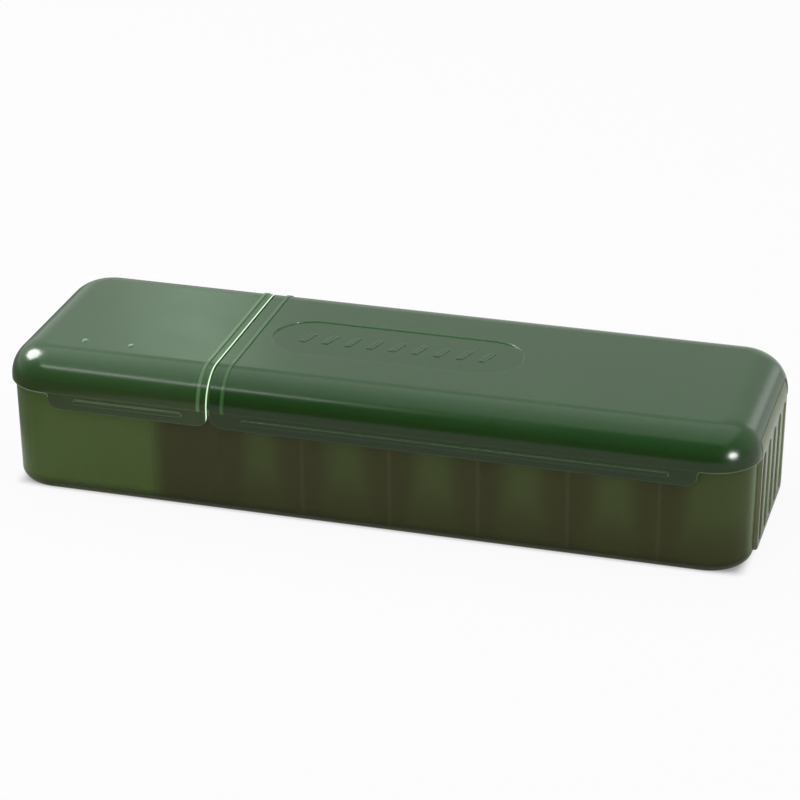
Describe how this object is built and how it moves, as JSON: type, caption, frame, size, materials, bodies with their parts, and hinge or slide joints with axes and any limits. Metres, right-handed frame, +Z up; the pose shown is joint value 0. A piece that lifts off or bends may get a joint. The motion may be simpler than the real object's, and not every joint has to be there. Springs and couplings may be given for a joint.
{
  "type": "cable organizer box",
  "caption": "Long translucent box with round edges, split into one large and several small compartments for cables, with two flip lids hinged along the back.",
  "frame": {"origin": "on the table under the middle of the tray's flat underside", "axes": "+X along the box towards the small cells, +Y from the front flaps to the hinges at the back, +Z up"},
  "size_m": [0.29, 0.097, 0.057],
  "materials": {
    "tray_plastic": "smooth translucent dark green plastic",
    "lid_plastic": "smooth glossy translucent dark green plastic",
    "partition_plastic": "smooth translucent dark green plastic",
    "pin_steel": "plain drawn steel wire"
  },
  "bodies": {
    "box": {"tray": "tray_plastic", "main_partition": "partition_plastic", "cell_partition_1": "partition_plastic", "cell_partition_2": "partition_plastic", "cell_partition_3": "partition_plastic", "cell_partition_4": "partition_plastic", "cell_partition_5": "partition_plastic", "short_lid_pin_1": "pin_steel", "short_lid_pin_2": "pin_steel", "long_lid_pin_1": "pin_steel", "long_lid_pin_2": "pin_steel", "long_lid_pin_3": "pin_steel"},
    "short_cover": {"short_lid": "lid_plastic"},
    "long_cover": {"long_lid": "lid_plastic"}
  },
  "joints": [
    {"name": "short_lid_hinge", "type": "hinge", "parent": "box", "child": "short_cover", "pos_m": [0, 0.0476, 0.0393], "axis": [-1, 0, 0], "range_deg": [0, 110]},
    {"name": "long_lid_hinge", "type": "hinge", "parent": "box", "child": "long_cover", "pos_m": [0, 0.0476, 0.0393], "axis": [-1, 0, 0], "range_deg": [0, 110]}
  ]
}
